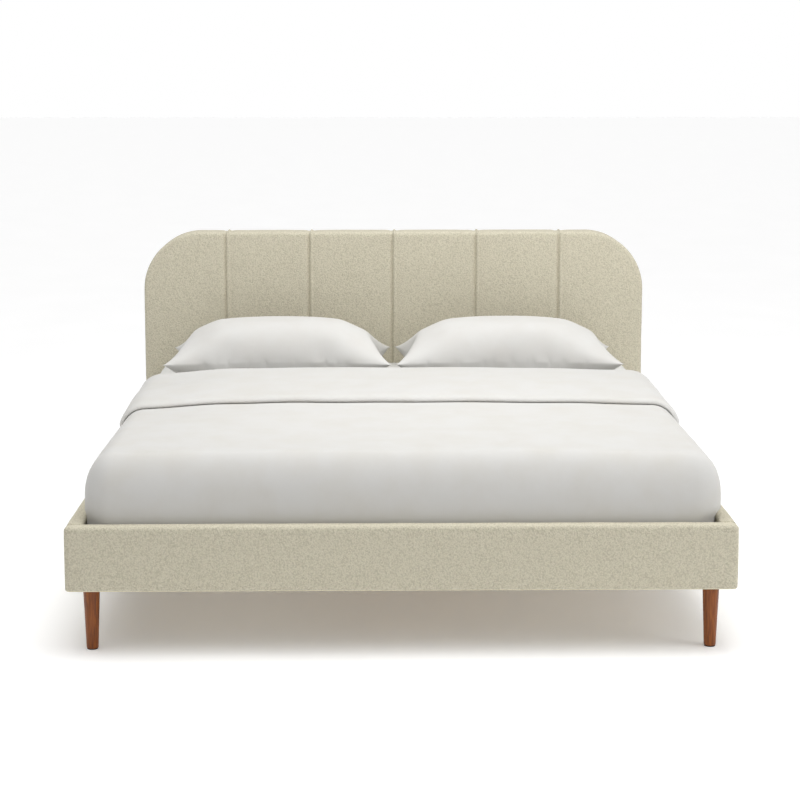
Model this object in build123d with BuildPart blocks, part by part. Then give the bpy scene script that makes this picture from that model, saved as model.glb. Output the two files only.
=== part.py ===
"""King-size upholstered bed with a channelled headboard, made up with duvet and pillows.

Millimetres. The origin is on the floor under the middle of the bed: +X to the right
of someone at the foot, +Y towards the headboard, +Z up.
"""

from build123d import *
import os

os.makedirs("parts", exist_ok=True)

# ---------------------------------------------------------------- driving dimensions

bed_width = 2050
bed_length = 2200
bed_height = 1111

cloth = 2.5  # boucle with its knitted backing
clearance = 0.5  # between things that only rest on each other

head_thickness = 100
head_corner = 235
head_foam = 40
head_wadding = 10
ply = 12
frame_timber = 60
channel_count = 6
welt_width = 8
welt_height = 3

rail_underside = 198
rail_height = 200
rail_thickness = 50
rail_foam = 7.5
rail_round = 14

leg_top_radius = 26
leg_foot_radius = 18.5
glide = 3
plate = 2

block_size = 80
block_height = 79
ledge = 30
slat_size = (1944, 70, 18)
slat_count = 13
beam_width = 40
beam_height = 70
glide_travel = 12

mattress_width = 1910
mattress_length = 2010
mattress_height = 248
mattress_cover = 3
sheet = 1.5
duvet_top_thickness = 27
duvet_side_thickness = 16
flap_thickness = 37
pillow_height = 222

bolt_radius = 4
bolt_bore = 4.5
screw_radius = 2.5

# ---------------------------------------------------------------- places worked out

half_width = bed_width / 2
foot_y = -bed_length / 2
back_y = bed_length / 2
head_y = back_y - head_thickness
board_top = bed_height - welt_height
channel_width = bed_width / channel_count
welt_bottom = 330

rail_top = rail_underside + rail_height
rail_inner_x = half_width - rail_thickness
foot_rail_back_y = foot_y + rail_thickness
core_inset = cloth + rail_foam

panel_y = head_y + cloth + head_foam
timber_y = panel_y + ply
back_cloth_y = back_y - 1
board_inset = cloth + head_wadding
timber_half_width = half_width - board_inset

head_rail_thickness = 30
head_rail_y = head_y - head_rail_thickness
head_rail_bottom = rail_underside + 20
ledge_bottom = rail_underside + block_height
ledge_top = ledge_bottom + ledge
slat_top = ledge_top + slat_size[2]
head_rail_top = slat_top
beam_bottom = ledge_top - beam_height

mattress_bottom = slat_top + clearance + sheet
mattress_top = mattress_bottom + mattress_height
mattress_y = head_y - 20 - mattress_length / 2
bed_top = mattress_top + sheet + clearance

# Each corner: which way it faces, the middle of its block and the middle of its leg.
side_signs = (-1, 1)
front_block_y = foot_rail_back_y + block_size / 2
rear_block_y = head_rail_y - block_size / 2
block_x = rail_inner_x - block_size / 2
leg_x = 955
leg_shift = 20
corners = [(sx, sy, block_y) for sy, block_y in ((-1, front_block_y), (1, rear_block_y)) for sx in side_signs]
leg_spots = [(sx * leg_x, block_y + sy * leg_shift) for sx, sy, block_y in corners]
plate_size = 70
plate_shift = 3
plate_spots = [(sx * (block_x + plate_shift), block_y + sy * plate_shift) for sx, sy, block_y in corners]
plate_screw_gap = 54

rail_bolt_x = 915
rail_bolt_heights = (232, 262)
head_bolt_spots = [(x, 270) for x in (-800, -300, 300, 800)]
block_screw_height = 220
bracket_screw_spots = [(x, z) for x in (-33, 33) for z in (250, 277)]
beam_leg_ys = (-340, 95, 530)


# ---------------------------------------------------------------- shared shapes


def slab(low, high, mode=Mode.ADD):
    """Adds an upright block between two corners to the part being made."""
    size = [b - a for a, b in zip(low, high)]
    middle = [(a + b) / 2 for a, b in zip(low, high)]
    with Locations(Location(tuple(middle))):
        Box(*size, mode=mode)


def board_outline(y, inset):
    """The headboard's round-cornered outline, pulled in by inset, standing at depth y."""
    with BuildSketch(Plane.XZ.offset(-y)) as outline:
        with Locations((0, (rail_underside + board_top) / 2)):
            Rectangle(bed_width - 2 * inset, board_top - rail_underside - 2 * inset)
        fillet(outline.vertices().group_by(Axis.Y)[-1], head_corner - inset)
    return outline.sketch


def rods_along_y(spots, radius, y_low, y_high, mode=Mode.ADD):
    """Round bars, or bores, that run from y_low to y_high at each (x, z)."""
    with BuildSketch(Plane.XZ.offset(-y_low)) as ends:
        with Locations(*spots):
            Circle(radius)
    extrude(ends.sketch, amount=-(y_high - y_low), mode=mode)


def rods_along_z(spots, radius, z_low, z_high, mode=Mode.ADD):
    """Round bars, or bores, that run from z_low to z_high at each (x, y)."""
    with BuildSketch(Plane.XY.offset(z_low)) as ends:
        with Locations(*spots):
            Circle(radius)
    extrude(ends.sketch, amount=z_high - z_low, mode=mode)


def rods_along_x(spots, radius, x_low, x_high, mode=Mode.ADD):
    """Round bars, or bores, that run from x_low to x_high at each (y, z)."""
    with BuildSketch(Plane.YZ.offset(x_low)) as ends:
        with Locations(*spots):
            Circle(radius)
    extrude(ends.sketch, amount=x_high - x_low, mode=mode)


def soft_block(low, high, upright_round, top_round, bottom_round):
    """A block with rounded upright edges, then rounded rims at its top and bottom."""
    slab(low, high)
    context = BuildPart._get_context()
    fillet(context.edges().filter_by(Axis.Z), upright_round)
    fillet(context.faces().sort_by(Axis.Z)[-1].edges(), top_round)
    if bottom_round:
        fillet(context.faces().sort_by(Axis.Z)[0].edges(), bottom_round)


# Bolts through each corner block, two high.
rail_bolt_spots = [(sx * rail_bolt_x, z) for sx in side_signs for z in rail_bolt_heights]
front_bolt_head_y = front_block_y + block_size / 2
rear_bolt_head_y = rear_block_y - block_size / 2
block_screws = [
    (block_y + sy * shift, block_screw_height)
    for _, sy, block_y in corners[::2]
    for shift in (-20, 32)
]
block_screw_end = half_width - core_inset - 8

# ---------------------------------------------------------------- headboard

with BuildPart() as headboard_panel:
    extrude(board_outline(panel_y, board_inset), amount=-ply)
    rods_along_y(head_bolt_spots, bolt_bore, panel_y, timber_y, Mode.SUBTRACT)
headboard_panel.part.label = "headboard_panel"
export_step(headboard_panel.part, "parts/headboard_panel.step")

timber_depth = back_cloth_y - timber_y
timber_low = rail_underside + board_inset
timber_high = board_top - board_inset
stile_inner_x = timber_half_width - frame_timber

with BuildPart() as headboard_stiles:
    for sx in side_signs:
        x_low, x_high = sorted((sx * stile_inner_x, sx * timber_half_width))
        slab((x_low, timber_y, timber_low), (x_high, back_cloth_y, timber_high))
    extrude(board_outline(timber_y, board_inset), amount=-timber_depth, mode=Mode.INTERSECT)
headboard_stiles.part.label = "headboard_stiles"
export_step(headboard_stiles.part, "parts/headboard_stiles.step")

bolting_batten = 120
batten_bottoms = (560, 800)
tee_flange = (11, 1.5)
tee_barrel = (5.2, 13)

with BuildPart() as headboard_battens:
    slab(
        (-stile_inner_x, timber_y, timber_low),
        (stile_inner_x, back_cloth_y, timber_low + bolting_batten),
    )
    for bottom in (*batten_bottoms, timber_high - frame_timber):
        slab((-stile_inner_x, timber_y, bottom), (stile_inner_x, back_cloth_y, bottom + frame_timber))
    extrude(board_outline(timber_y, board_inset), amount=-timber_depth, mode=Mode.INTERSECT)
    rods_along_y(head_bolt_spots, bolt_bore, timber_y, back_cloth_y, Mode.SUBTRACT)
    rods_along_y(
        head_bolt_spots,
        tee_barrel[0] + 0.2,
        back_cloth_y - tee_barrel[1] - 1,
        back_cloth_y,
        Mode.SUBTRACT,
    )
    rods_along_y(head_bolt_spots, tee_flange[0] + 0.5, back_cloth_y - 2, back_cloth_y, Mode.SUBTRACT)
headboard_battens.part.label = "headboard_battens"
export_step(headboard_battens.part, "parts/headboard_battens.step")

head_round = 12
spacer_radius = 7

with BuildPart() as headboard_foam:
    extrude(board_outline(head_y + cloth, cloth), amount=-head_foam)
    front = headboard_foam.faces().sort_by(Axis.Y)[0]
    fillet(front.edges(), head_round - cloth)
    rods_along_y(head_bolt_spots, spacer_radius + 0.3, head_y + cloth, panel_y, Mode.SUBTRACT)
headboard_foam.part.label = "headboard_foam"
export_step(headboard_foam.part, "parts/headboard_foam.step")

with BuildPart() as headboard_wadding:
    extrude(board_outline(panel_y, cloth), amount=-(back_cloth_y - panel_y))
    extrude(board_outline(panel_y, board_inset), amount=-(back_cloth_y - panel_y), mode=Mode.SUBTRACT)
headboard_wadding.part.label = "headboard_wadding"
export_step(headboard_wadding.part, "parts/headboard_wadding.step")

with BuildPart() as headboard_cover:
    extrude(board_outline(head_y, 0), amount=-head_thickness)
    front = headboard_cover.faces().sort_by(Axis.Y)[0]
    fillet(front.edges(), head_round)
    back = headboard_cover.faces().sort_by(Axis.Y)[-1]
    offset(amount=-cloth, openings=back)
    rods_along_y(head_bolt_spots, spacer_radius + 0.3, head_y, head_y + cloth, Mode.SUBTRACT)
headboard_cover.part.label = "headboard_cover"
export_step(headboard_cover.part, "parts/headboard_cover.step")

with BuildPart() as headboard_back_cloth:
    extrude(board_outline(back_cloth_y, cloth), amount=-(back_y - back_cloth_y))
headboard_back_cloth.part.label = "headboard_back_cloth"
export_step(headboard_back_cloth.part, "parts/headboard_back_cloth.step")

# Each welt is a folded tuck of the cover: up the front, then back over the top edge.
welt_xs = [(i - channel_count / 2) * channel_width for i in range(1, channel_count)]

with BuildPart() as channel_welts:
    with BuildSketch(Plane.YZ.offset(-welt_width / 2)):
        with BuildLine():
            Polyline(
                (head_y, welt_bottom),
                (head_y, board_top - head_round),
            )
            RadiusArc((head_y, board_top - head_round), (head_y + head_round, board_top), head_round)
            Polyline(
                (head_y + head_round, board_top),
                (back_y - 2, board_top),
                (back_y - 2, board_top + welt_height),
                (head_y + head_round, board_top + welt_height),
            )
            RadiusArc(
                (head_y + head_round, board_top + welt_height),
                (head_y - welt_height, board_top - head_round),
                -(head_round + welt_height),
            )
            Polyline(
                (head_y - welt_height, board_top - head_round),
                (head_y - welt_height, welt_bottom),
                (head_y, welt_bottom),
            )
        make_face()
    extrude(amount=welt_width)
    first = channel_welts.part
with BuildPart() as all_welts:
    for x in welt_xs:
        add(first.moved(Location((x, 0, 0))))
all_welts.part.label = "channel_welts"
export_step(all_welts.part, "parts/channel_welts.step")

with BuildPart() as headboard_spacers:
    rods_along_y(head_bolt_spots, spacer_radius, head_y, panel_y)
    rods_along_y(head_bolt_spots, bolt_bore, head_y, panel_y, Mode.SUBTRACT)
headboard_spacers.part.label = "headboard_spacers"
export_step(headboard_spacers.part, "parts/headboard_spacers.step")

with BuildPart() as tee_nuts:
    rods_along_y(head_bolt_spots, tee_flange[0], back_cloth_y - tee_flange[1], back_cloth_y)
    rods_along_y(head_bolt_spots, tee_barrel[0], back_cloth_y - tee_barrel[1], back_cloth_y)
    rods_along_y(
        head_bolt_spots,
        bolt_radius + 0.1,
        back_cloth_y - tee_barrel[1],
        back_cloth_y,
        Mode.SUBTRACT,
    )
tee_nuts.part.label = "tee_nuts"
export_step(tee_nuts.part, "parts/tee_nuts.step")

# ---------------------------------------------------------------- rails


def rail_solid(low, high, inset, rounding):
    """A rail's block pulled in by inset on its sides and top, with soft top and upright edges."""
    slab(
        (low[0] + inset, low[1] + inset, low[2]),
        (high[0] - inset, high[1] - inset, high[2] - inset),
    )
    context = BuildPart._get_context()
    fillet(context.edges().filter_by(Axis.Z), rounding)
    fillet(context.faces().sort_by(Axis.Z)[-1].edges(), rounding)


foot_low = (-half_width, foot_y, rail_underside)
foot_high = (half_width, foot_rail_back_y, rail_top)
screw_bore = screw_radius + 0.2

with BuildPart() as foot_rail_core:
    slab(
        (-half_width + core_inset, foot_y + core_inset, rail_underside),
        (half_width - core_inset, foot_rail_back_y - core_inset, rail_top - core_inset),
    )
    rods_along_y(rail_bolt_spots, bolt_bore, foot_y + 15, foot_rail_back_y, Mode.SUBTRACT)
    rods_along_y(bracket_screw_spots, screw_bore, foot_y + 15, foot_rail_back_y, Mode.SUBTRACT)
foot_rail_core.part.label = "foot_rail_core"
export_step(foot_rail_core.part, "parts/foot_rail_core.step")

with BuildPart() as foot_rail_foam:
    rail_solid(foot_low, foot_high, cloth, rail_round - cloth)
    slab(
        (-half_width + core_inset, foot_y + core_inset, rail_underside),
        (half_width - core_inset, foot_rail_back_y - core_inset, rail_top - core_inset),
        Mode.SUBTRACT,
    )
    rods_along_y(rail_bolt_spots, bolt_bore, foot_y + 20, foot_rail_back_y, Mode.SUBTRACT)
    rods_along_y(bracket_screw_spots, screw_bore, foot_y + 20, foot_rail_back_y, Mode.SUBTRACT)
foot_rail_foam.part.label = "foot_rail_foam"
export_step(foot_rail_foam.part, "parts/foot_rail_foam.step")

with BuildPart() as foot_rail_cover:
    rail_solid(foot_low, foot_high, 0, rail_round)
    underside = foot_rail_cover.faces().sort_by(Axis.Z)[0]
    offset(amount=-cloth, openings=underside)
    rods_along_y(rail_bolt_spots, bolt_bore, foot_y + 20, foot_rail_back_y, Mode.SUBTRACT)
    rods_along_y(bracket_screw_spots, screw_bore, foot_y + 20, foot_rail_back_y, Mode.SUBTRACT)
foot_rail_cover.part.label = "foot_rail_cover"
export_step(foot_rail_cover.part, "parts/foot_rail_cover.step")


def side_profile(inset, rounding):
    """The side rail's section, seen from the foot: soft top corners, flat underside."""
    with BuildSketch(Plane.XZ.offset(-foot_rail_back_y)) as profile:
        with Locations((rail_inner_x + rail_thickness / 2, rail_underside + (rail_height - inset) / 2)):
            Rectangle(rail_thickness - 2 * inset, rail_height - inset)
        if rounding:
            fillet(profile.vertices().group_by(Axis.Y)[-1], rounding)
    return profile.sketch


side_length = head_y - foot_rail_back_y


def side_rail_piece(name, inset, rounding, wall, hollow_rounding):
    """Writes one layer of the side rail, right and then left; wall is 0 for the solid core."""
    with BuildPart() as layer:
        extrude(side_profile(inset, rounding), amount=-side_length)
        if wall:
            hollow = side_profile(inset + wall, hollow_rounding)
            extrude(hollow, amount=-side_length, mode=Mode.SUBTRACT)
        rods_along_x(block_screws, screw_bore, rail_inner_x, block_screw_end + 1, Mode.SUBTRACT)
    layer.part.label = f"{name}_right"
    export_step(layer.part, f"parts/{name}_right.step")
    with BuildPart() as twin:
        add(mirror(layer.part, about=Plane.YZ))
    twin.part.label = f"{name}_left"
    export_step(twin.part, f"parts/{name}_left.step")


side_rail_piece("side_rail_core", core_inset, 0, 0, 0)
side_rail_piece("side_rail_foam", cloth, rail_round - cloth, rail_foam, 0)
side_rail_piece("side_rail_cover", 0, rail_round, cloth, rail_round - cloth)

with BuildPart() as head_rail:
    slab((-rail_inner_x, head_rail_y, head_rail_bottom), (rail_inner_x, head_y, head_rail_top))
    rods_along_y(rail_bolt_spots, bolt_bore, head_rail_y, head_y, Mode.SUBTRACT)
    rods_along_y(head_bolt_spots, bolt_bore, head_rail_y, head_y, Mode.SUBTRACT)
    rods_along_y(bracket_screw_spots, screw_bore, head_rail_y, head_y - 3, Mode.SUBTRACT)
head_rail.part.label = "head_rail"
export_step(head_rail.part, "parts/head_rail.step")

# ---------------------------------------------------------------- corners and slat ledges

plate_screw_spots = [
    (x + dx * plate_screw_gap / 2, y + dy * plate_screw_gap / 2)
    for x, y in plate_spots
    for dx in side_signs
    for dy in side_signs
]
hanger_reach = 50
plate_screw_reach = 18
plate_screw_radius = 2

with BuildPart() as corner_blocks:
    for sx, _, block_y in corners:
        slab(
            (sx * block_x - block_size / 2, block_y - block_size / 2, rail_underside),
            (sx * block_x + block_size / 2, block_y + block_size / 2, ledge_bottom),
        )
    rods_along_y(rail_bolt_spots, bolt_bore, foot_rail_back_y, head_rail_y, Mode.SUBTRACT)
    rods_along_z(leg_spots, bolt_bore, rail_underside, rail_underside + hanger_reach + 2, Mode.SUBTRACT)
    rods_along_z(
        plate_screw_spots,
        plate_screw_radius + 0.1,
        rail_underside,
        rail_underside + plate_screw_reach,
        Mode.SUBTRACT,
    )
    rods_along_x(block_screws, screw_bore, -rail_inner_x, rail_inner_x, Mode.SUBTRACT)
corner_blocks.part.label = "corner_blocks"
export_step(corner_blocks.part, "parts/corner_blocks.step")


def write_ledge(name, sx):
    """Writes the batten along one side rail that the slats rest on."""
    x_low, x_high = sorted((sx * (rail_inner_x - ledge), sx * rail_inner_x))
    with BuildPart() as batten:
        slab((x_low, foot_rail_back_y, ledge_bottom), (x_high, head_rail_y, ledge_top))
    batten.part.label = name
    export_step(batten.part, f"parts/{name}.step")


write_ledge("slat_ledge_left", -1)
write_ledge("slat_ledge_right", 1)

head_depth = 5.5
head_radius = 6.5
washer_depth = 1.5
washer_radius = 11

with BuildPart() as rail_bolts:
    rods_along_y(rail_bolt_spots, bolt_radius, foot_y + 18, front_bolt_head_y + washer_depth)
    rods_along_y(
        rail_bolt_spots,
        head_radius,
        front_bolt_head_y + washer_depth,
        front_bolt_head_y + washer_depth + head_depth,
    )
    rods_along_y(rail_bolt_spots, bolt_radius, rear_bolt_head_y - washer_depth, head_y - 2)
    rods_along_y(
        rail_bolt_spots,
        head_radius,
        rear_bolt_head_y - washer_depth - head_depth,
        rear_bolt_head_y - washer_depth,
    )
rail_bolts.part.label = "rail_bolts"
export_step(rail_bolts.part, "parts/rail_bolts.step")

with BuildPart() as bolt_washers:
    rods_along_y(rail_bolt_spots, washer_radius, front_bolt_head_y, front_bolt_head_y + washer_depth)
    rods_along_y(rail_bolt_spots, washer_radius, rear_bolt_head_y - washer_depth, rear_bolt_head_y)
    rods_along_y(head_bolt_spots, washer_radius, head_rail_y - washer_depth, head_rail_y)
    rods_along_y(
        rail_bolt_spots + head_bolt_spots,
        bolt_radius + 0.2,
        front_bolt_head_y,
        head_rail_y,
        Mode.SUBTRACT,
    )
bolt_washers.part.label = "bolt_washers"
export_step(bolt_washers.part, "parts/bolt_washers.step")

with BuildPart() as headboard_bolts:
    rods_along_y(head_bolt_spots, bolt_radius, head_rail_y - washer_depth, back_cloth_y - 1)
    rods_along_y(
        head_bolt_spots,
        head_radius,
        head_rail_y - washer_depth - head_depth,
        head_rail_y - washer_depth,
    )
headboard_bolts.part.label = "headboard_bolts"
export_step(headboard_bolts.part, "parts/headboard_bolts.step")

with BuildPart() as block_screws_node:
    for x_low, x_high in (
        (rail_inner_x - block_size, block_screw_end),
        (-block_screw_end, -(rail_inner_x - block_size)),
    ):
        rods_along_x(block_screws, screw_radius, x_low, x_high)
block_screws_node.part.label = "block_screws"
export_step(block_screws_node.part, "parts/block_screws.step")

# ---------------------------------------------------------------- centre beam

bracket_wall = 3
bracket_length = 40
bracket_height = 56
ear_width = 20
beam_half = beam_width / 2
bracket_low = beam_bottom - bracket_wall

with BuildPart() as centre_beam:
    slab((-beam_half, foot_rail_back_y, beam_bottom), (beam_half, head_rail_y, ledge_top))
centre_beam.part.label = "centre_beam"
export_step(centre_beam.part, "parts/centre_beam.step")

with BuildPart() as beam_brackets:
    outer = beam_half + bracket_wall
    for wall_y, sy in ((foot_rail_back_y, 1), (head_rail_y, -1)):
        y_low, y_high = sorted((wall_y, wall_y + sy * bracket_length))
        slab((-outer, y_low, bracket_low), (outer, y_high, bracket_low + bracket_height))
        y_low, y_high = sorted((wall_y, wall_y + sy * bracket_wall))
        slab(
            (-outer - ear_width, y_low, bracket_low),
            (outer + ear_width, y_high, bracket_low + bracket_height),
        )
    slab((-beam_half, foot_y, beam_bottom), (beam_half, back_y, ledge_top), Mode.SUBTRACT)
    rods_along_y(bracket_screw_spots, screw_bore, foot_rail_back_y, head_rail_y, Mode.SUBTRACT)
beam_brackets.part.label = "beam_brackets"
export_step(beam_brackets.part, "parts/beam_brackets.step")

screw_cap = (4.5, 2)

with BuildPart() as bracket_screws:
    for wall_y, sy, reach in ((foot_rail_back_y, 1, 30), (head_rail_y, -1, 24)):
        ear_y = wall_y + sy * bracket_wall
        y_low, y_high = sorted((wall_y - sy * reach, ear_y))
        rods_along_y(bracket_screw_spots, screw_radius, y_low, y_high)
        y_low, y_high = sorted((ear_y, ear_y + sy * screw_cap[1]))
        rods_along_y(bracket_screw_spots, screw_cap[0], y_low, y_high)
bracket_screws.part.label = "bracket_screws"
export_step(bracket_screws.part, "parts/bracket_screws.step")

centre_leg_bottom = glide_travel + 14
stud_top = 60
sleeve_length = 20
sleeve_radius = 6
stud_bore = bolt_radius + 0.4
centre_spots = [(0, y) for y in beam_leg_ys]

with BuildPart() as centre_legs:
    for x, y in centre_spots:
        slab(
            (x - beam_half, y - beam_half, centre_leg_bottom),
            (x + beam_half, y + beam_half, beam_bottom),
        )
    rods_along_z(centre_spots, sleeve_radius, 0, centre_leg_bottom + sleeve_length, Mode.SUBTRACT)
    rods_along_z(centre_spots, stud_bore, 0, stud_top + glide_travel + 4, Mode.SUBTRACT)
centre_legs.part.label = "centre_legs"
export_step(centre_legs.part, "parts/centre_legs.step")

with BuildPart() as glide_sleeves:
    rods_along_z(centre_spots, sleeve_radius, centre_leg_bottom, centre_leg_bottom + sleeve_length)
    rods_along_z(
        centre_spots,
        stud_bore,
        centre_leg_bottom,
        centre_leg_bottom + sleeve_length,
        Mode.SUBTRACT,
    )
glide_sleeves.part.label = "glide_sleeves"
export_step(glide_sleeves.part, "parts/glide_sleeves.step")


def write_levelling_glide(name, y):
    """Writes one nylon-footed stud that screws in and out of a centre leg."""
    with BuildPart() as foot:
        with BuildSketch(Plane.XZ.offset(-y)):
            with BuildLine():
                Polyline(
                    (0, 0),
                    (15.5, 0),
                    (17, 1.5),
                    (17, 5),
                    (8, 11),
                    (bolt_radius, 11),
                    (bolt_radius, stud_top - 1),
                    (bolt_radius - 1, stud_top),
                    (0, stud_top),
                    (0, 0),
                )
            make_face()
        revolve(axis=Axis((0, y, 0), (0, 0, 1)))
    foot.part.label = name
    export_step(foot.part, f"parts/{name}.step")


for place, beam_leg_y in zip(("foot", "middle", "head"), beam_leg_ys):
    write_levelling_glide(f"levelling_glide_{place}", beam_leg_y)

# ---------------------------------------------------------------- slats

slat_first_y = foot_rail_back_y + 10 + slat_size[1] / 2
slat_last_y = head_rail_y - 10 - slat_size[1] / 2
slat_pitch = (slat_last_y - slat_first_y) / (slat_count - 1)

with BuildPart() as slats:
    for i in range(slat_count):
        y = slat_first_y + i * slat_pitch
        slab(
            (-slat_size[0] / 2, y - slat_size[1] / 2, ledge_top),
            (slat_size[0] / 2, y + slat_size[1] / 2, slat_top),
        )
    fillet(slats.edges().filter_by(Axis.X), 3)
slats.part.label = "slats"
export_step(slats.part, "parts/slats.step")

strap_x = 500
strap_width = 25
strap_thickness = 1.5

with BuildPart() as slat_straps:
    for sx in side_signs:
        slab(
            (sx * strap_x - strap_width / 2, slat_first_y - 30, ledge_top - strap_thickness),
            (sx * strap_x + strap_width / 2, slat_last_y + 30, ledge_top),
        )
slat_straps.part.label = "slat_straps"
export_step(slat_straps.part, "parts/slat_straps.step")

# ---------------------------------------------------------------- legs

leg_top = rail_underside - plate
insert_length = 22
insert_radius = 6


def write_leg(name, spot):
    """Writes one round, tapered leg, bored at the top for its threaded insert."""
    x, y = spot
    with BuildPart() as leg:
        with BuildSketch(Plane.XZ.offset(-y)) as profile:
            with BuildLine():
                Polyline(
                    (x, glide),
                    (x + leg_foot_radius, glide),
                    (x + leg_top_radius, leg_top),
                    (x, leg_top),
                    (x, glide),
                )
            make_face()
            fillet(profile.vertices().sort_by(Axis.X)[-2:], 1.5)
        revolve(axis=Axis((x, y, 0), (0, 0, 1)))
        rods_along_z([spot], insert_radius, leg_top - insert_length, leg_top, Mode.SUBTRACT)
    leg.part.label = name
    export_step(leg.part, f"parts/{name}.step")


for name, spot in zip(
    ("leg_front_left", "leg_front_right", "leg_rear_left", "leg_rear_right"),
    leg_spots,
):
    write_leg(name, spot)

with BuildPart() as leg_inserts:
    rods_along_z(leg_spots, insert_radius, leg_top - insert_length, leg_top)
    rods_along_z(leg_spots, bolt_radius, leg_top - insert_length, leg_top, Mode.SUBTRACT)
leg_inserts.part.label = "leg_inserts"
export_step(leg_inserts.part, "parts/leg_inserts.step")

with BuildPart() as hanger_bolts:
    rods_along_z(leg_spots, bolt_radius, leg_top - insert_length, rail_underside + hanger_reach)
hanger_bolts.part.label = "hanger_bolts"
export_step(hanger_bolts.part, "parts/hanger_bolts.step")

with BuildPart() as leg_plates:
    with BuildSketch(Plane.XY.offset(leg_top)) as plate_sketch:
        with Locations(*plate_spots):
            Rectangle(plate_size, plate_size)
        fillet(plate_sketch.vertices(), 8)
    extrude(amount=plate)
    rods_along_z(leg_spots, bolt_bore, leg_top, rail_underside, Mode.SUBTRACT)
    rods_along_z(plate_screw_spots, plate_screw_radius + 0.1, leg_top, rail_underside, Mode.SUBTRACT)
leg_plates.part.label = "leg_plates"
export_step(leg_plates.part, "parts/leg_plates.step")

with BuildPart() as leg_plate_screws:
    rods_along_z(plate_screw_spots, plate_screw_radius, leg_top, rail_underside + plate_screw_reach - 2)
leg_plate_screws.part.label = "leg_plate_screws"
export_step(leg_plate_screws.part, "parts/leg_plate_screws.step")

with BuildPart() as leg_glides:
    rods_along_z(leg_spots, leg_foot_radius - 1.5, 0, glide)
leg_glides.part.label = "leg_glides"
export_step(leg_glides.part, "parts/leg_glides.step")

# ---------------------------------------------------------------- bedding

mattress_low = (-mattress_width / 2, mattress_y - mattress_length / 2, mattress_bottom)
mattress_high = (mattress_width / 2, mattress_y + mattress_length / 2, mattress_top)
mattress_rounds = (50, 60, 20)


def grown(low, high, amount):
    """The two corners of a block, each pushed outwards by amount."""
    return tuple(a - amount for a in low), tuple(b + amount for b in high)


with BuildPart() as mattress_outer:
    soft_block(mattress_low, mattress_high, *mattress_rounds)

with BuildPart() as mattress_core:
    core_low, core_high = grown(mattress_low, mattress_high, -mattress_cover)
    soft_block(core_low, core_high, *(r - mattress_cover for r in mattress_rounds))
mattress_core.part.label = "mattress_core"
export_step(mattress_core.part, "parts/mattress_core.step")

with BuildPart() as mattress_cover_node:
    add(mattress_outer.part)
    add(mattress_core.part, mode=Mode.SUBTRACT)
mattress_cover_node.part.label = "mattress_cover"
export_step(mattress_cover_node.part, "parts/mattress_cover.step")

sheet_tuck = 150

with BuildPart() as fitted_sheet:
    sheet_low, sheet_high = grown(mattress_low, mattress_high, sheet)
    soft_block(sheet_low, sheet_high, *(r + sheet for r in mattress_rounds))
    add(mattress_outer.part, mode=Mode.SUBTRACT)
    slab(
        (mattress_low[0] + sheet_tuck, mattress_low[1] + sheet_tuck, mattress_bottom - sheet),
        (mattress_high[0] - sheet_tuck, mattress_high[1] - sheet_tuck, mattress_bottom),
        Mode.SUBTRACT,
    )
fitted_sheet.part.label = "fitted_sheet"
export_step(fitted_sheet.part, "parts/fitted_sheet.step")

duvet_x = mattress_width / 2 + sheet + 1 + duvet_side_thickness
duvet_foot_y = mattress_low[1] - sheet - 1 - duvet_side_thickness
duvet_head_y = 435
duvet_hem = 340
duvet_top = bed_top + duvet_top_thickness
flap_foot_y = -160
flap_hem = 525
flap_x = duvet_x + 9
flap_top = duvet_top + flap_thickness
soft_edge = 88

with BuildPart() as bed_shape:
    shape_low, shape_high = grown(mattress_low, mattress_high, sheet + 1)
    slab((shape_low[0], shape_low[1], 300), (shape_high[0], shape_high[1], bed_top))
    fillet(bed_shape.edges().filter_by(Axis.Z), mattress_rounds[0] + sheet)
    fillet(bed_shape.faces().sort_by(Axis.Z)[-1].edges(), mattress_rounds[1] + sheet)

with BuildPart() as duvet_flap:
    slab((-flap_x, flap_foot_y, flap_hem), (flap_x, duvet_head_y, flap_top))
    fillet(duvet_flap.edges().filter_by(Axis.Y).group_by(Axis.Z)[-1], soft_edge)

with BuildPart() as duvet:
    slab((-duvet_x, duvet_foot_y, duvet_hem), (duvet_x, duvet_head_y, duvet_top))
    fillet(duvet.edges().filter_by(Axis.Z).group_by(Axis.Y)[0], mattress_rounds[0] + duvet_side_thickness)
    top_face = duvet.faces().sort_by(Axis.Z)[-1]
    fillet(top_face.edges().sort_by(Axis.Y)[:-1], mattress_rounds[0] + duvet_side_thickness)
    add(duvet_flap.part)
    add(bed_shape.part, mode=Mode.SUBTRACT)
duvet.part.label = "duvet"
export_step(duvet.part, "parts/duvet.step")

# Sections of a pillow lying flat, from its underside up: height, half length, half width.
pillow_sections = (
    (0, 300, 110),
    (25, 400, 190),
    (72, 443, 236),
    (150, 390, 195),
    (198, 300, 130),
    (pillow_height, 180, 60),
)
pillow_y = 687
pillow_xs = {"pillow_left": -455, "pillow_right": 441}


def write_pillow(name, x):
    """Writes one filled pillow as a stack of round-cornered sections."""
    with BuildPart() as pillow:
        for height, half_length, half_depth in pillow_sections:
            with BuildSketch(Plane.XY.offset(bed_top + height)):
                with Locations((x, pillow_y)):
                    RectangleRounded(2 * half_length, 2 * half_depth, 0.9 * half_depth)
        loft(ruled=True)
    pillow.part.label = name
    export_step(pillow.part, f"parts/{name}.step")


for name, x in pillow_xs.items():
    write_pillow(name, x)
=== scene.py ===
import math

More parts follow.
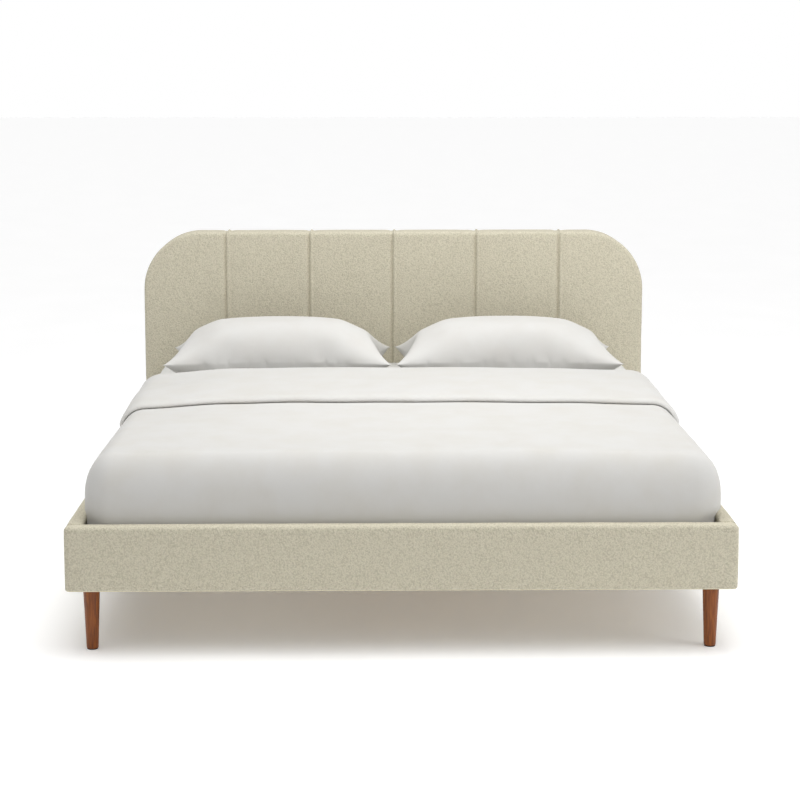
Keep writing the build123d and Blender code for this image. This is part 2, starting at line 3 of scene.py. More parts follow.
import bpy
import numpy as np
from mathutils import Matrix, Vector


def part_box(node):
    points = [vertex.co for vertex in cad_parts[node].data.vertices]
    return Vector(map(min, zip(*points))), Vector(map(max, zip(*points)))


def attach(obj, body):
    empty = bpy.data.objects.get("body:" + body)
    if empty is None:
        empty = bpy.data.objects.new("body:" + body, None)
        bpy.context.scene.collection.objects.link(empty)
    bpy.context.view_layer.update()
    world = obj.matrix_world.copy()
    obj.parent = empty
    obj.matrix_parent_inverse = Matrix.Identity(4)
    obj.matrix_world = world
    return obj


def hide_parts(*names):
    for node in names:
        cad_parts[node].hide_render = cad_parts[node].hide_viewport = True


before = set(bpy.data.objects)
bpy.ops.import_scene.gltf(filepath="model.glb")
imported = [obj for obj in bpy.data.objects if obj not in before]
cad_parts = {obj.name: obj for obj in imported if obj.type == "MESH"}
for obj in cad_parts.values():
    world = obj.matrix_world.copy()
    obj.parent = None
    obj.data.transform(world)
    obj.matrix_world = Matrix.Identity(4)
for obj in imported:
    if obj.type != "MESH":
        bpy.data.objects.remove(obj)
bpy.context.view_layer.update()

MM = 0.001

# ------------------------------------------------------------------ places, from the frame


def corners_of(*nodes):
    """Lowest and highest corner of the box round the named CAD nodes."""
    boxes = [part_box(node) for node in nodes]
    low = np.min([np.array(low) for low, _ in boxes], axis=0)
    high = np.max([np.array(high) for _, high in boxes], axis=0)
    return low, high


board_low, board_high = corners_of("headboard_cover")
foot_low, foot_high = corners_of("foot_rail_cover")
sheet_low, sheet_high = corners_of("fitted_sheet")
duvet_low, duvet_high = corners_of("duvet")
rail_inner_x = corners_of("side_rail_cover_right")[0][0]

# ------------------------------------------------------------------ small tools for surfaces


def swell(a, b, wavelength, seed, waves=8):
    """Soft irregular height of about -1 to 1: a sum of sine waves in random directions,
    each with its own length near the given wavelength and its own phase."""
    rng = np.random.default_rng(seed)
    turn = rng.uniform(0, 2 * np.pi, waves)
    length = wavelength * rng.uniform(0.7, 1.6, waves)
    phase = rng.uniform(0, 2 * np.pi, waves)
    total = np.zeros(np.broadcast(a, b).shape)
    for angle, span, start in zip(turn, length, phase):
        total += np.sin(2 * np.pi * (np.cos(angle) * a + np.sin(angle) * b) / span + start)
    return total / (1.6 * math.sqrt(waves))


def smooth_step(x, start, end):
    """Rises from 0 at start to 1 at end as 3t^2 - 2t^3."""
    t = np.clip((x - start) / (end - start), 0, 1)
    return t * t * (3 - 2 * t)


def grid_quads(index, flip=False):
    """The four-cornered faces between the neighbours of a grid of point numbers."""
    faces = np.stack([index[:-1, :-1], index[1:, :-1], index[1:, 1:], index[:-1, 1:]], axis=-1)
    faces = faces.reshape(-1, 4)
    return faces[:, ::-1] if flip else faces


def welded(points, quads):
    """Joins points closer than a thousandth of a millimetre."""
    keys = np.round(points * 1e6).astype(np.int64)
    _, first, inverse = np.unique(keys, axis=0, return_index=True, return_inverse=True)
    return points[first], inverse.reshape(-1)[quads]


def piece(name, points, quads, material, smooth=True):
    """A mesh object at the origin; a face whose corners were joined loses the doubled corner."""
    faces = [list(dict.fromkeys(face)) for face in quads.tolist()]
    faces = [face for face in faces if len(face) > 2]
    mesh = bpy.data.meshes.new(name)
    mesh.from_pydata(points.tolist(), [], faces)
    mesh.polygons.foreach_set("use_smooth", [smooth] * len(mesh.polygons))
    mesh.materials.append(material)
    mesh.update()
    made = bpy.data.objects.new(name, mesh)
    bpy.context.scene.collection.objects.link(made)
    return made


def round_lines(low, high, round_low, round_high, step, arc_steps):
    """Places of grid lines along one side of a rounded block: even turns of the two roundings,
    whose half arc is 45 degrees on each face, and even steps between them. An unrounded end
    keeps one line."""
    turn = np.tan(np.radians(np.linspace(45, 0, arc_steps + 1)))
    start = low + round_low * (1 - turn)
    end = high - round_high * (1 - turn[::-1])
    count = max(2, int(round((end[0] - start[-1]) / step)))
    lines = np.concatenate([start, np.linspace(start[-1], end[0], count + 1)[1:-1], end])
    return lines[np.append(True, np.diff(lines) > 1e-6)]


def block_grid(low, high, round_low, round_high, step, sides="xXyYzZ", arc_steps=6):
    """Flat grids over the named faces of a block (x is the low X face, X the high one), joined
    at the block's edges. Returns the points and the faces."""
    lines = [
        round_lines(low[k], high[k], round_low[k], round_high[k], step, arc_steps) for k in range(3)
    ]
    clouds, faces, count = [], [], 0
    for axis, name in enumerate("xyz"):
        across, along = [k for k in range(3) if k != axis]
        for letter, level in ((name, low[axis]), (name.upper(), high[axis])):
            if letter not in sides:
                continue
            a, b = np.meshgrid(lines[across], lines[along], indexing="ij")
            cloud = np.empty(a.shape + (3,))
            cloud[..., axis] = level
            cloud[..., across] = a
            cloud[..., along] = b
            index = count + np.arange(a.size).reshape(a.shape)
            faces.append(grid_quads(index, flip=(letter.isupper()) == (axis == 1)))
            clouds.append(cloud.reshape(-1, 3))
            count += a.size
    return welded(np.concatenate(clouds), np.concatenate(faces))


def wrapped(points, low, high, round_low, round_high):
    """Moves each point p of a block's faces onto its rounded surface: to c + r (p - c) / |p - c|,
    where c is the nearest point of the inner block left after the radii r, and p - c is counted
    in radii. Returns the points and their outward normals."""
    inner = np.clip(points, low + round_low, high - round_high)
    radius = np.where(points < inner, round_low, round_high) + 1e-9
    out = (points - inner) / radius
    out /= np.linalg.norm(out, axis=1, keepdims=True) + 1e-12
    normal = out / radius
    normal /= np.linalg.norm(normal, axis=1, keepdims=True) + 1e-12
    return inner + out * radius, normal


def rounded_block(low, high, round_low, round_high, step):
    """A closed block with rounded edges: its points, their outward normals and the faces."""
    low, high, round_low, round_high = (np.asarray(v, float) for v in (low, high, round_low, round_high))
    flat, quads = block_grid(low, high, round_low, round_high, step)
    points, normal = wrapped(flat, low, high, round_low, round_high)
    return points, normal, quads


def crowned(points, normal, low, high, height, power=4):
    """Bulge of each face between its edges: height times the product of 1 - |s|^power along
    the face's two directions, where s runs from -1 to 1 across the block."""
    s = 2 * (points - low) / (high - low) - 1
    fall = 1 - np.clip(np.abs(s), 0, 1) ** power
    share = normal**2
    lift = sum(share[:, k] * fall[:, (k + 1) % 3] * fall[:, (k + 2) % 3] for k in range(3))
    return points + normal * (height * lift)[:, None]


def two_sheets(top, bottom):
    """A closed shell from two grids of points that share their border."""
    rows, columns = top.shape[:2]
    upper = np.arange(rows * columns).reshape(rows, columns)
    inside = np.zeros((rows, columns), bool)
    inside[1:-1, 1:-1] = True
    lower = upper.copy()
    lower[inside] = rows * columns + np.arange(inside.sum())
    points = np.concatenate([top.reshape(-1, 3), bottom[inside]])
    return points, np.concatenate([grid_quads(upper), grid_quads(lower, flip=True)])


def border_edges(quads):
    """Edges that only one face uses, each in that face's direction."""
    edges = np.concatenate([quads[:, [k, (k + 1) % 4]] for k in range(4)])
    keys = np.sort(edges, axis=1)
    _, inverse, uses = np.unique(keys, axis=0, return_inverse=True, return_counts=True)
    return edges[uses[inverse.reshape(-1)] == 1]


# ------------------------------------------------------------------ materials


def linear(code):
    """Linear colour of an sRGB hex code."""
    channels = [int(code[i : i + 2], 16) / 255 for i in (1, 3, 5)]
    return tuple(c / 12.92 if c <= 0.04045 else ((c + 0.055) / 1.055) ** 2.4 for c in channels) + (1.0,)


def add_node(tree, kind, links=(), inputs=(), **settings):
    """Adds a node, sets its properties and its inputs' values, and links its inputs."""
    node = tree.nodes.new(kind)
    for key, value in settings.items():
        setattr(node, key, value)
    for key, value in dict(inputs).items():
        node.inputs[key].default_value = value
    for key, socket in dict(links).items():
        tree.links.new(socket, node.inputs[key])
    return node


def new_material(name, **shader):
    """A material with its shader's own sockets set; returns it, its tree, shader and coordinates."""
    material = bpy.data.materials.new(name)
    material.use_nodes = True
    tree = material.node_tree
    surface = tree.nodes["Principled BSDF"]
    for key, value in shader.items():
        surface.inputs[key.replace("_", " ")].default_value = value
    place = add_node(tree, "ShaderNodeTexCoord").outputs["Object"]
    return material, tree, surface, place


def tint(tree, surface, source, stops):
    """Colours a shader by a ramp of the source through (position, hex colour) stops."""
    node = add_node(tree, "ShaderNodeValToRGB", links={"Fac": source})
    points = node.color_ramp.elements
    while len(points) < len(stops):
        points.new(0.5)
    for point, (position, code) in zip(points, stops):
        point.position = position
        point.color = linear(code)
    tree.links.new(node.outputs["Color"], surface.inputs["Base Color"])


def bump(tree, surface, height, strength, distance, under=None):
    """Bump from a height, in metres of distance, on the shader's normal."""
    links = {"Height": height}
    if under is not None:
        links["Normal"] = under
    node = add_node(
        tree, "ShaderNodeBump", links=links, inputs={"Strength": strength, "Distance": distance}
    )
    tree.links.new(node.outputs["Normal"], surface.inputs["Normal"])
    return node.outputs["Normal"]


def boucle():
    """Boucle: a knit of small irregular wool loops. Matt and slightly furry, with a nubby relief
    of 4 to 5 mm; the loops are drawn a little coarse so that they show from a few metres."""
    material, tree, surface, place = new_material(
        "boucle_wool_knitted", Roughness=0.95, Sheen_Weight=0.06, Sheen_Roughness=0.6
    )
    surface.inputs["Specular IOR Level"].default_value = 0.15
    loops = add_node(
        tree,
        "ShaderNodeTexVoronoi",
        links={"Vector": place},
        inputs={"Scale": 220.0, "Randomness": 1.0, "Smoothness": 0.35},
        feature="SMOOTH_F1",
    ).outputs["Distance"]
    nubs = add_node(
        tree, "ShaderNodeMath", links={0: loops}, inputs={1: -0.9, 2: 0.75}, operation="MULTIPLY_ADD"
    ).outputs["Value"]
    tangle = add_node(
        tree,
        "ShaderNodeTexNoise",
        links={"Vector": place},
        inputs={"Scale": 165.0, "Detail": 3.0, "Roughness": 0.6},
    ).outputs["Fac"]
    height = add_node(
        tree, "ShaderNodeMath", links={0: tangle, 1: nubs}, operation="ADD"
    ).outputs["Value"]
    halved = add_node(
        tree, "ShaderNodeMath", links={0: height}, inputs={1: 0.5}, operation="MULTIPLY"
    ).outputs["Value"]
    # The colour follows the loops' height: darker in the gaps between the loops and lighter on their tops,
    # which is painted shade in the gaps and painted light on the tops.
    tint(tree, surface, halved, [(0.25, "#BAB4A0"), (0.48, "#CFC9B5"), (0.7, "#D6D0BE")])
    bump(tree, surface, halved, 1.0, 4.0 * MM)
    return material


def cotton(name, light, shade, thread=1.1, crease=0.08):
    """Woven cotton: matt and close, with a faint crossing weave and a tone a little darker in the dips of
    the soft rumple that also bumps it, which is painted shade.
    The thread spacing is drawn at about a millimetre, coarser than percale, so that it shows."""
    material, tree, surface, place = new_material(
        name, Roughness=0.85, Sheen_Weight=0.15, Sheen_Roughness=0.5
    )
    surface.inputs["Specular IOR Level"].default_value = 0.25
    scale = 1 / (thread * MM) / 2
    threads = [
        add_node(
            tree,
            "ShaderNodeTexWave",
            links={"Vector": place},
            inputs={"Scale": scale / 10, "Distortion": 0.6, "Detail": 1.0},
            bands_direction=direction,
        ).outputs["Fac"]
        for direction in ("X", "Y")
    ]
    weave = add_node(
        tree, "ShaderNodeMath", links={0: threads[0], 1: threads[1]}, operation="MULTIPLY"
    ).outputs["Value"]
    rumple = add_node(
        tree,
        "ShaderNodeTexNoise",
        links={"Vector": place},
        inputs={"Scale": 9.0, "Detail": 4.0, "Roughness": 0.55},
    ).outputs["Fac"]
    # The colour follows the rumple that bumps the cloth: the shade tone lies in its dips and the light tone
    # on its rises, as painted shade and painted light.
    tint(tree, surface, rumple, [(0.3, shade), (0.62, light)])
    soft = bump(tree, surface, rumple, crease, 4.0 * MM)
    bump(tree, surface, weave, 0.12, 0.4 * MM, under=soft)
    return material


def stained_walnut():
    """Beech stained walnut under satin lacquer: fine straight grain along the leg, warm brown,
    with a soft highlight."""
    material, tree, surface, place = new_material(
        "beech_stained_walnut_lacquered", Roughness=0.42, Coat_Weight=0.1, Coat_Roughness=0.25
    )
    surface.inputs["Specular IOR Level"].default_value = 0.35
    stretched = add_node(
        tree, "ShaderNodeMapping", links={"Vector": place}, inputs={"Scale": (1.0, 1.0, 0.06)}
    ).outputs["Vector"]
    grain = add_node(
        tree,
        "ShaderNodeTexNoise",
        links={"Vector": stretched},
        inputs={"Scale": 230.0, "Detail": 6.0, "Roughness": 0.6, "Distortion": 0.4},
    ).outputs["Fac"]
    tint(tree, surface, grain, [(0.3, "#5E2E0B"), (0.5, "#83440F"), (0.72, "#9C5817")])
    bump(tree, surface, grain, 0.15, 0.3 * MM)
    return material


def bare_wood(name, dark, light, along, scale=1.0):
    """Planed, unfinished timber: pale, matt, with growth lines that run along the piece."""
    material, tree, surface, place = new_material(name, Roughness=0.7)
    stretch = tuple(0.05 if axis == along else 1.0 for axis in "xyz")
    stretched = add_node(
        tree, "ShaderNodeMapping", links={"Vector": place}, inputs={"Scale": stretch}
    ).outputs["Vector"]
    grain = add_node(
        tree,
        "ShaderNodeTexNoise",
        links={"Vector": stretched},
        inputs={"Scale": 90.0 * scale, "Detail": 6.0, "Roughness": 0.6, "Distortion": 0.8},
    ).outputs["Fac"]
    tint(tree, surface, grain, [(0.32, dark), (0.62, light)])
    bump(tree, surface, grain, 0.2, 0.3 * MM)
    return material


def zinc_steel():
    """Bright zinc-plated steel: greyish, half glossy, with faint crystalline blotches."""
    material, tree, surface, place = new_material(
        "steel_zinc_plated", Metallic=1.0, Roughness=0.38
    )
    spangle = add_node(
        tree, "ShaderNodeTexNoise", links={"Vector": place}, inputs={"Scale": 320.0, "Detail": 3.0}
    ).outputs["Fac"]
    tint(tree, surface, spangle, [(0.35, "#A9ABA8"), (0.65, "#CFD1CD")])
    bump(tree, surface, spangle, 0.08, 0.1 * MM)
    return material


def plain_textile(name, dark, light, scale, strength, roughness=0.95, distance=0.6):
    """Felt, foam, lining or webbing: matt, with an irregular fine grain of the given scale."""
    material, tree, surface, place = new_material(name, Roughness=roughness)
    surface.inputs["Specular IOR Level"].default_value = 0.15
    grain = add_node(
        tree,
        "ShaderNodeTexNoise",
        links={"Vector": place},
        inputs={"Scale": scale, "Detail": 6.0, "Roughness": 0.7},
    ).outputs["Fac"]
    tint(tree, surface, grain, [(0.33, dark), (0.66, light)])
    bump(tree, surface, grain, strength, distance * MM)
    return material


def moulded_nylon():
    """Injection-moulded black nylon: satin, with a very fine spark-eroded texture."""
    material, tree, surface, place = new_material("nylon_moulded_black", Roughness=0.5)
    grain = add_node(
        tree, "ShaderNodeTexNoise", links={"Vector": place}, inputs={"Scale": 900.0, "Detail": 2.0}
    ).outputs["Fac"]
    tint(tree, surface, grain, [(0.3, "#161616"), (0.7, "#242424")])
    bump(tree, surface, grain, 0.15, 0.15 * MM)
    return material


boucle_cloth = boucle()
duvet_cotton = cotton("cotton_brushed_white", "#CBCAC7", "#C8C6C1")
pillow_cotton = cotton("cotton_percale_white", "#CDCCC9", "#CAC8C4")
sheet_cotton = cotton("cotton_sateen_white", "#D2D2CF", "#CECDC9")
ticking_knit = plain_textile("ticking_quilted_knit", "#DCD9D2", "#EFEDE8", 420.0, 0.35)
walnut = stained_walnut()
steel = zinc_steel()
nylon = moulded_nylon()
lining = plain_textile("lining_spun_bonded", "#BDB6A4", "#CDC7B7", 700.0, 0.25, distance=0.3)
foam = plain_textile("foam_open_cell", "#DDD6B8", "#EFE9CF", 520.0, 0.4)
wool_felt = plain_textile("felt_pressed_wool", "#2C2622", "#463D35", 650.0, 0.6)
webbing = plain_textile("webbing_woven_polyester", "#CFCCC2", "#E4E1D8", 900.0, 0.4)
plywood = bare_wood("plywood_birch_sanded", "#C9A97B", "#DFC59B", "z", 0.6)
pine_along_x = bare_wood("pine_planed_crosswise", "#C79F6B", "#E2C493", "x")
pine_along_y = bare_wood("pine_planed_lengthwise", "#C79F6B", "#E2C493", "y")
pine_along_z = bare_wood("pine_planed_upright", "#C79F6B", "#E2C493", "z")
poplar = bare_wood("poplar_planed_slats", "#D3B98C", "#E8D5B0", "x")

node_finishes = {
    "headboard_panel": plywood,
    "headboard_stiles": pine_along_z,
    "headboard_battens": pine_along_x,
    "headboard_foam": foam,
    "headboard_wadding": foam,
    "foot_rail_core": pine_along_x,
    "foot_rail_foam": foam,
    "side_rail_core_left": pine_along_y,
    "side_rail_core_right": pine_along_y,
    "side_rail_foam_left": foam,
    "side_rail_foam_right": foam,
    "head_rail": pine_along_x,
    "corner_blocks": pine_along_y,
    "slat_ledge_left": pine_along_y,
    "slat_ledge_right": pine_along_y,
    "centre_beam": pine_along_y,
    "centre_legs": pine_along_z,
    "slats": poplar,
    "slat_straps": webbing,
    "leg_glides": wool_felt,
    "mattress_core": foam,
    "levelling_glide_foot": nylon,
    "levelling_glide_middle": nylon,
    "levelling_glide_head": nylon,
}
for steel_node in (
    "headboard_spacers",
    "tee_nuts",
    "rail_bolts",
    "bolt_washers",
    "headboard_bolts",
    "block_screws",
    "beam_brackets",
    "bracket_screws",
    "glide_sleeves",
    "leg_inserts",
    "hanger_bolts",
    "leg_plates",
    "leg_plate_screws",
):
    node_finishes[steel_node] = steel

for node_name, finish in node_finishes.items():
    cad_object = bpy.data.objects[node_name]
    cad_object.data.materials.clear()
    cad_object.data.materials.append(finish)

# ------------------------------------------------------------------ headboard

board_round = 12 * MM
corner_radius = 235 * MM
board_top = board_high[2]
corner_x = board_high[0] - corner_radius
corner_z = board_top - corner_radius
channels = 6
channel_width = (board_high[0] - board_low[0]) / channels
seams = board_low[0] + channel_width * np.arange(1, channels)

# The cover across a seam, in millimetres: how far its padding stands proud, the height and half
# width of the seam's hollow, ridge and crease, and how far the last two lie off its middle.
padding = 7.6
seam_hollow = 4.5, 17.0
seam_ridge = 8.0, 6.5
seam_crease = 5.0, 4.5
ridge_shift, crease_shift = 2.0, 8.5


def seam_lines():
    """Grid lines across the board: close together at each seam, about 18 mm apart elsewhere."""
    near = np.array([0, 1.5, 3, 4.5, 6, 7.5, 9, 10.5, 12.5, 15, 19, 25, 33]) * MM
    half = board_high[0] - board_round
    lines = [np.concatenate([seam - near[:0:-1], seam + near]) for seam in seams]
    edges = np.concatenate([[-half], *[[x[0], x[-1]] for x in lines], [half]])
    for start, end in zip(edges[::2], edges[1::2]):
        lines.append(np.linspace(start, end, int((end - start) / (15 * MM)) + 2))
    return np.unique(np.round(np.concatenate([*lines, [-corner_x, corner_x]]), 7))


def board_outline(x, z, inset):
    """Takes the board's square top corners, drawn in by the inset, to quarter circles: with p and
    q the shares of the way into a corner, x goes to p sqrt(1 - q^2 / 2) and z to
    q sqrt(1 - p^2 / 2) of the radius. Returns x, z, p and q."""
    radius = corner_radius - inset
    p = np.clip((np.abs(x) - corner_x) / radius, 0, 1)
    q = np.clip((z - corner_z) / radius, 0, 1)
    in_corner = (p > 0) & (q > 0)
    round_x = np.sign(x) * (corner_x + radius * p * np.sqrt(1 - q * q / 2))
    round_z = corner_z + radius * q * np.sqrt(1 - p * p / 2)
    return np.where(in_corner, round_x, x), np.where(in_corner, round_z, z), p, q


def channel_height(x, z):
    """How far the cover stands proud, in metres, from the distance t across the nearest seam.
    The padding falls away towards the seam as height times exp(-(t / half width)^2); the folded
    seam stands in that hollow as a ridge of the same form, with a crease along its left foot
    where the cloth turns under. Slow ripples keep the padding from looking machined."""
    wander = 0.8 * MM * swell(z, seams[0] + 0 * z, 0.25, 2)
    offset = (x + wander)[..., None] - seams
    nearest = np.argmin(np.abs(offset), axis=-1)
    t = np.take_along_axis(offset, nearest[..., None], axis=-1)[..., 0] / MM
    fall = -seam_hollow[0] * np.exp(-((t / seam_hollow[1]) ** 2))
    rise = seam_ridge[0] * np.exp(-(((t - ridge_shift) / seam_ridge[1]) ** 2))
    fold = -seam_crease[0] * np.exp(-(((t + crease_shift) / seam_crease[1]) ** 2))
    puff = 1.2 * np.sin(np.pi * np.mod((x - board_low[0]) / channel_width, 1.0))
    ripple = 0.4 * swell(x, z, 0.16, 3) + 0.3 * swell(x, z, 0.07, 4)
    # No swelling where the rails butt against the board.
    above_head_rail = smooth_step(z, 0.335, 0.39)
    beside_rails = smooth_step(np.abs(x), 0.92, 0.965) * (1 - smooth_step(z, 0.40, 0.46))
    free = above_head_rail * (1 - beside_rails)
    return free * (padding + fall + rise + fold + puff + ripple) * MM


def headboard_upholstery():
    """The padded cover: a front sheet whose top corners are squares turned into quarter discs,
    and a skirt that carries its border round the edge, back along the side and behind."""
    inset = board_round
    radius = corner_radius - inset
    z_low = board_low[2] + inset
    z_high = board_top - inset
    lower = np.linspace(z_low, corner_z, int((corner_z - z_low) / (14 * MM)) + 1)
    upper = np.linspace(corner_z, z_high, int((z_high - corner_z) / (10 * MM)) + 1)
    x, z = np.meshgrid(seam_lines(), np.concatenate([lower, upper[1:]]), indexing="ij")
    flat_x, flat_z, p, q = board_outline(x, z, inset)
    proud = channel_height(x, z)
    front = np.stack([flat_x, board_low[1] - proud, flat_z], axis=-1)
    rows, columns = x.shape
    index = np.arange(rows * columns).reshape(rows, columns)
    border = np.concatenate([index[0, :], index[1:, -1], index[-1, -2::-1], index[-2:0:-1, 0]])
    ring = front.reshape(-1, 3)[border]
    ring_proud = proud.reshape(-1)[border]
    px, pz = p.reshape(-1)[border], q.reshape(-1)[border]
    side = np.sign(ring[:, 0])
    out_x = np.where(np.isclose(np.abs(ring[:, 0]), board_high[0] - inset), side, 0.0)
    out_z = np.where(np.isclose(ring[:, 2], z_low), -1.0, 0.0)
    out_z = np.where(np.isclose(ring[:, 2], z_high), 1.0, out_z)
    round_part = (px > 0) & (pz > 0)
    out_x = np.where(round_part, (ring[:, 0] - side * corner_x) / radius, out_x)
    out_z = np.where(round_part, (ring[:, 2] - corner_z) / radius, out_z)
    # The skirt's profile: how far out and how far back it lies, and the way its padding faces.
    arc = np.radians(np.linspace(0, 90, 8))[1:]
    depth = board_high[1] - board_low[1]
    back_round, fold_under = 8 * MM, 24 * MM
    profile = [(inset * math.sin(a), inset * (1 - math.cos(a)), math.sin(a), math.cos(a)) for a in arc]
    for step in np.linspace(inset, depth - back_round, 7)[1:]:
        profile.append((inset, step, 1.0, 0.0))
    for a in np.radians(np.linspace(0, 90, 5))[1:]:
        out = inset - back_round * (1 - math.cos(a))
        profile.append((out, depth - back_round * (1 - math.sin(a)), math.cos(a), -math.sin(a)))
    profile.append((inset - fold_under, depth, 0.0, -1.0))
    rings = []
    for out, back, face_out, face_front in profile:
        swollen = np.maximum(ring_proud - 6.5 * MM * face_out**2, -0.8 * MM)
        push = out + swollen * face_out
        cloud = np.stack(
            [
                ring[:, 0] + out_x * push,
                board_low[1] + back - swollen * face_front,
                ring[:, 2] + out_z * push,
            ],
            axis=-1,
        )
        rings.append(cloud)
    points = np.concatenate([front.reshape(-1, 3), *rings])
    later = rows * columns + np.arange(len(rings) * len(border)).reshape(len(rings), -1)
    loops = np.concatenate([border[None], later])
    closed = np.concatenate([loops, loops[:, :1]], axis=1)
    quads = np.concatenate([grid_quads(index), grid_quads(closed, flip=True)])
    return points, quads


board_points, board_quads = headboard_upholstery()
headboard = piece("headboard_upholstery", board_points, board_quads, boucle_cloth)
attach(headboard, "bed_frame")
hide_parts("headboard_cover", "channel_welts")

# ------------------------------------------------------------------ rails


def rail_upholstery(name, low, high, rounds_low, rounds_high, bulge, seed):
    """A padded rail: a rounded block whose faces bulge slightly, with a slow ripple."""
    points, normal, quads = rounded_block(low, high, rounds_low, rounds_high, 22 * MM)
    points = crowned(points, normal, low, high, bulge)
    ripple = 0.5 * MM * swell(points[:, 0] + points[:, 1], points[:, 2], 0.13, seed)
    points = points + normal * ripple[:, None]
    rail = piece(f"{name}_upholstery", points, quads, boucle_cloth)
    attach(rail, "bed_frame")
    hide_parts(f"{name}_cover" if name == "foot_rail" else name.replace("rail", "rail_cover"))


soft = 10 * MM
crisp = 5 * MM
rail_upholstery(
    "foot_rail", foot_low, foot_high, (16 * MM, soft, crisp), (16 * MM, soft, soft), 1.5 * MM, 11
)
for hand, seed in (("left", 12), ("right", 13)):
    low, high = corners_of(f"side_rail_cover_{hand}")
    rail_upholstery(
        f"side_rail_{hand}", low, high, (soft, 2 * MM, crisp), (soft, 2 * MM, soft), 1.2 * MM, seed
    )

# ------------------------------------------------------------------ legs


def turned_leg(low, high):
    """A turned taper: the radius runs straight from foot to top, with eased ends."""
    centre = (low + high) / 2
    top_radius = (high[0] - low[0]) / 2
    foot_radius = 18.5 * MM
    bottom, top = low[2], high[2]
    ease = 2.5 * MM
    heights = [bottom, bottom, bottom + 0.3 * ease, bottom + ease]
    radii = [0.0, foot_radius - ease, foot_radius - 0.3 * ease, foot_radius]
    for share in np.linspace(0, 1, 14)[1:-1]:
        heights.append(bottom + ease + share * (top - 2 * ease - bottom))
        radii.append(foot_radius + share * (top_radius - foot_radius))
    heights += [top - 0.8 * MM, top, top]
    radii += [top_radius, top_radius - 0.8 * MM, 0.0]
    angle = np.linspace(0, 2 * np.pi, 65)
    r, a = np.meshgrid(radii, angle, indexing="ij")
    z, _ = np.meshgrid(heights, angle, indexing="ij")
    cloud = np.stack([centre[0] + r * np.cos(a), centre[1] + r * np.sin(a), z], axis=-1)
    index = np.arange(r.size).reshape(r.shape)
    return welded(cloud.reshape(-1, 3), grid_quads(index, flip=True))


for leg_name in ("leg_front_left", "leg_front_right", "leg_rear_left", "leg_rear_right"):
    points, quads = turned_leg(*corners_of(leg_name))
    leg = piece(f"{leg_name}_turned", points, quads, walnut)
    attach(leg, "bed_frame")
    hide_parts(leg_name)

# ------------------------------------------------------------------ headboard's back


def back_lining():
    """Lining cloth stapled over the back: a flat sheet with the board's outline, drawn in a
    little between its staples."""
    inset = 9 * MM
    z_low, z_high = board_low[2] + inset, board_top - inset
    bend = np.linspace(corner_x, board_high[0] - inset, 16)[1:]
    x_lines = np.concatenate([-bend[::-1], np.linspace(-corner_x, corner_x, 80), bend])
    z_lines = np.concatenate([np.linspace(z_low, corner_z, 40), np.linspace(corner_z, z_high, 18)[1:]])
    x, z = np.meshgrid(x_lines, z_lines, indexing="ij")
    flat_x, flat_z, _, _ = board_outline(x, z, inset)
    sag = 0.5 * MM * (1 + swell(x, z, 0.3, 21))
    cloud = np.stack([flat_x, board_high[1] + 1.2 * MM - sag, flat_z], axis=-1)
    index = np.arange(x.size).reshape(x.shape)
    return cloud.reshape(-1, 3), grid_quads(index, flip=True)


lining_points, lining_quads = back_lining()
back_cloth = piece("headboard_lining", lining_points, lining_quads, lining)
thicken = back_cloth.modifiers.new("cloth_thickness", "SOLIDIFY")
thicken.thickness = 0.8 * MM
thicken.offset = -1
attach(back_cloth, "bed_frame")
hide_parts("headboard_back_cloth")


staple_gap = 45 * MM
staple_half_length = 5.5 * MM
staple_half_width = 0.6 * MM


def lining_staples():
    """Wire staples round the lining, each a small flat bar along its edge, a little out of line
    and off its even spacing, as from a hand-held gun."""
    inset = 17 * MM
    half, radius = board_high[0] - inset, corner_radius - inset
    z_low = board_low[2] + inset
    turn = np.radians(np.arange(0, 91, 10))
    right = np.stack([corner_x + radius * np.cos(turn), corner_z + radius * np.sin(turn)], axis=-1)
    left = np.stack([-right[::-1, 0], right[::-1, 1]], axis=-1)
    corners = [[half, z_low]], right, left, [[-half, z_low]], [[half, z_low]]
    path = np.concatenate([np.array(part, float) for part in corners])
    length = np.concatenate([[0], np.cumsum(np.hypot(*np.diff(path, axis=0).T))])
    rng = np.random.default_rng(6)
    stations = np.arange(20 * MM, length[-1], staple_gap)
    stations += rng.uniform(-3, 3, stations.size) * MM
    points, quads = [], []
    for station in stations:
        here = np.array([np.interp(station, length, path[:, k]) for k in range(2)])
        ahead = np.array([np.interp(station + 1 * MM, length, path[:, k]) for k in range(2)])
        along = (ahead - here) / (np.linalg.norm(ahead - here) + 1e-9)
        along = along + rng.normal(0, 0.12, 2)
        along /= np.linalg.norm(along)
        across = np.array([-along[1], along[0]])
        corner = np.array([[-1, -1], [1, -1], [1, 1], [-1, 1]])
        flat = here + corner[:, :1] * along * staple_half_length
        flat = flat + corner[:, 1:] * across * staple_half_width
        low = np.insert(flat, 1, board_high[1] - 0.5 * MM, axis=1)
        high = np.insert(flat, 1, board_high[1] + 1.9 * MM, axis=1)
        base = 8 * len(points)
        points.append(np.concatenate([low, high]))
        box = [[0, 1, 2, 3], [7, 6, 5, 4], [0, 4, 5, 1], [1, 5, 6, 2], [2, 6, 7, 3], [3, 7, 4, 0]]
        quads.append(np.array(box) + base)
    return np.concatenate(points), np.concatenate(quads)


points, quads = lining_staples()
staples = piece("lining_staples", points, quads, steel, smooth=False)
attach(staples, "bed_frame")

# ------------------------------------------------------------------ mattress and its sheet

mattress_low, mattress_high = corners_of("mattress_cover")
mattress_corner = 50 * MM
mattress_edges = 20 * MM, 60 * MM  # below and above
diamond_size = 160 * MM
stitch_depth = 2.5 * MM
rounds = [(mattress_corner, mattress_corner, edge) for edge in mattress_edges]
points, normal, quads = rounded_block(mattress_low, mattress_high, *rounds, 22 * MM)
